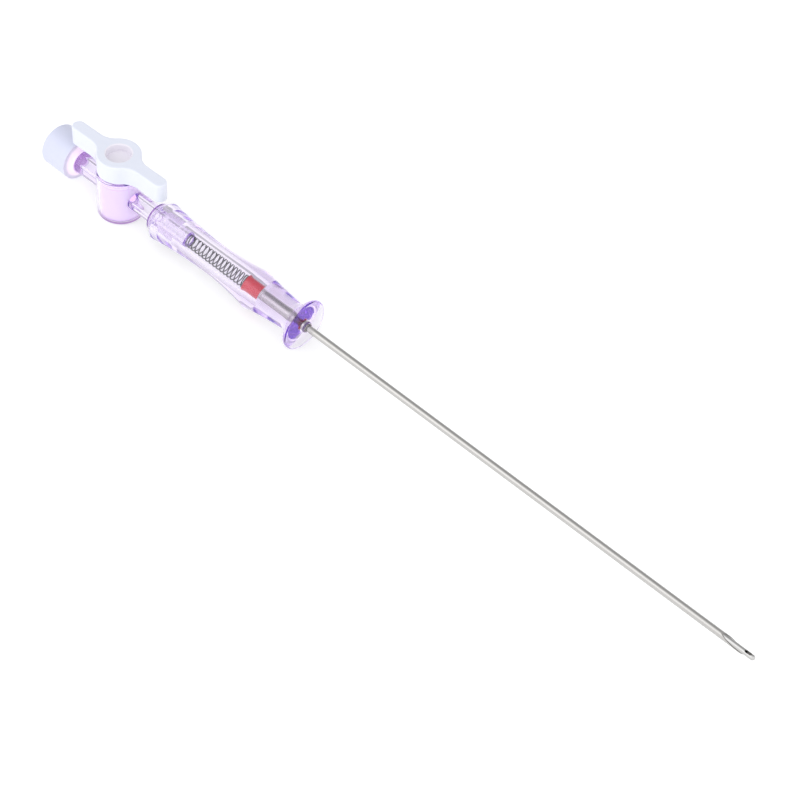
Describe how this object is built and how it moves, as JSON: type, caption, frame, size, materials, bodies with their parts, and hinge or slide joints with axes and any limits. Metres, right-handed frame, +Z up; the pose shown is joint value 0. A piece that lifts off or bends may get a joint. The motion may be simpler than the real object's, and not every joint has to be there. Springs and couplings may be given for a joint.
{
  "type": "veress needle",
  "caption": "Insufflation needle with a sharp steel cannula round a sprung blunt stylet, a clear violet handle with a red indicator, and a stopcock with a luer lock collar.",
  "frame": {"origin": "on the needle's axis, at the front face of the handle's boss where the cannula comes out", "axes": "+X along the needle to its point, +Z up, with the stopcock's lever on top"},
  "size_m": [0.2575, 0.0154, 0.0216],
  "materials": {
    "cannula_steel": "drawn stainless steel tube, finely polished along its length",
    "stylet_steel": "drawn stainless steel tube with a polished domed end",
    "red_plastic": "bright red moulded plastic",
    "spring_wire": "drawn stainless spring wire",
    "clear_violet_handle": "transparent violet tinted plastic, polished",
    "clear_violet_plug": "transparent violet tinted plastic, polished",
    "clear_violet_stopcock": "transparent violet tinted plastic, polished",
    "white_lever": "milky white moulded plastic, satin",
    "white_collar": "milky white moulded plastic, satin"
  },
  "bodies": {
    "needle_body": {"cannula": "cannula_steel", "handle": "clear_violet_handle", "rear_plug": "clear_violet_plug", "stopcock_body": "clear_violet_stopcock", "spring": "spring_wire"},
    "stylet_body": {"stylet": "stylet_steel", "indicator": "red_plastic"},
    "lever_body": {"stopcock_lever": "white_lever"},
    "collar_body": {"luer_collar": "white_collar"}
  },
  "joints": [
    {"name": "stylet_slide", "type": "slide", "parent": "needle_body", "child": "stylet_body", "axis": [-1, 0, 0], "range_m": [0, 0.01], "stiffness_N_per_m": 150, "springref_m": -0.006, "deforming": ["spring"]},
    {"name": "lever_turn", "type": "hinge", "parent": "needle_body", "child": "lever_body", "pos_m": [-0.0755, 0, 0], "axis": [0, 0, 1], "continuous": true},
    {"name": "collar_turn", "type": "hinge", "parent": "needle_body", "child": "collar_body", "pos_m": [-0.0914, 0, 0], "axis": [1, 0, 0], "continuous": true}
  ]
}
